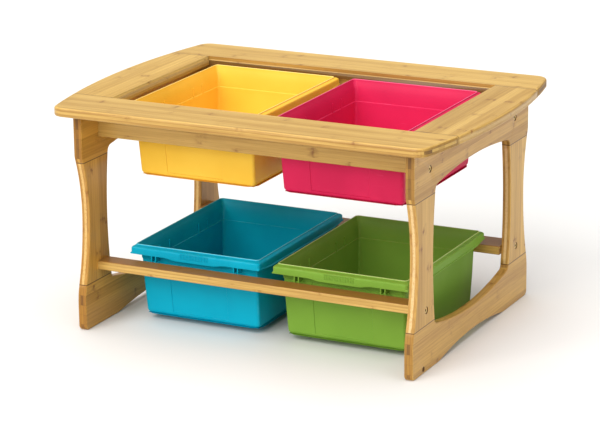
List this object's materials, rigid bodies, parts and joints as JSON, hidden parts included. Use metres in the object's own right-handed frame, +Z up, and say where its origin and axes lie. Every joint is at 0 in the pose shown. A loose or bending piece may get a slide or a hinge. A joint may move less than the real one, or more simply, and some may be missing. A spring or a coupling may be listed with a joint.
{
  "type": "activity table",
  "caption": "Low children's activity table in laminated bamboo with an open framed top, arched end panels, and lift-out storage tubs hung under the top and on the lower rails.",
  "frame": {"origin": "on the floor, under the centre of the table", "axes": "+X along the table to the right, -Y towards the front, +Z up"},
  "size_m": [0.858, 0.634, 0.46],
  "materials": {
    "bamboo": "satin lacquer over laminated bamboo",
    "dowel_wood": "plain beech",
    "bolt_brass": "zinc plated, yellow passivated",
    "nut_steel": "zinc plated",
    "yellow_plastic": "satin moulded polypropylene",
    "pink_plastic": "satin moulded polypropylene",
    "teal_plastic": "satin moulded polypropylene",
    "green_plastic": "satin moulded polypropylene"
  },
  "bodies": {
    "frame": {"top_front_board": "bamboo", "top_back_board": "bamboo", "top_left_board": "bamboo", "top_right_board": "bamboo", "top_frame_dowels": "dowel_wood", "top_fixing_dowels": "dowel_wood", "left_upper_board": "bamboo", "left_front_leg": "bamboo", "left_back_leg": "bamboo", "left_base_board": "bamboo", "left_panel_dowels": "dowel_wood", "right_upper_board": "bamboo", "right_front_leg": "bamboo", "right_back_leg": "bamboo", "right_base_board": "bamboo", "right_panel_dowels": "dowel_wood", "front_apron": "bamboo", "back_apron": "bamboo", "front_tub_ledge": "bamboo", "back_tub_ledge": "bamboo", "ledge_screws": "nut_steel", "front_lower_rail": "bamboo", "back_lower_rail": "bamboo", "apron_dowels": "dowel_wood", "rail_dowels": "dowel_wood", "apron_bolts": "bolt_brass", "rail_bolts": "bolt_brass", "apron_barrel_nuts": "nut_steel", "rail_barrel_nuts": "nut_steel"},
    "yellow_tub": {"yellow_tub": "yellow_plastic"},
    "pink_tub": {"pink_tub": "pink_plastic"},
    "teal_tub": {"teal_tub": "teal_plastic"},
    "green_tub": {"green_tub": "green_plastic"}
  },
  "joints": [
    {"name": "yellow_lift", "type": "slide", "parent": "frame", "child": "yellow_tub", "axis": [0, 0, 1], "range_m": [0, 0.18]},
    {"name": "pink_lift", "type": "slide", "parent": "frame", "child": "pink_tub", "axis": [0, 0, 1], "range_m": [0, 0.18]},
    {"name": "teal_lift", "type": "slide", "parent": "frame", "child": "teal_tub", "axis": [0, 0, 1], "range_m": [0, 0.12]},
    {"name": "green_lift", "type": "slide", "parent": "frame", "child": "green_tub", "axis": [0, 0, 1], "range_m": [0, 0.12]}
  ]
}
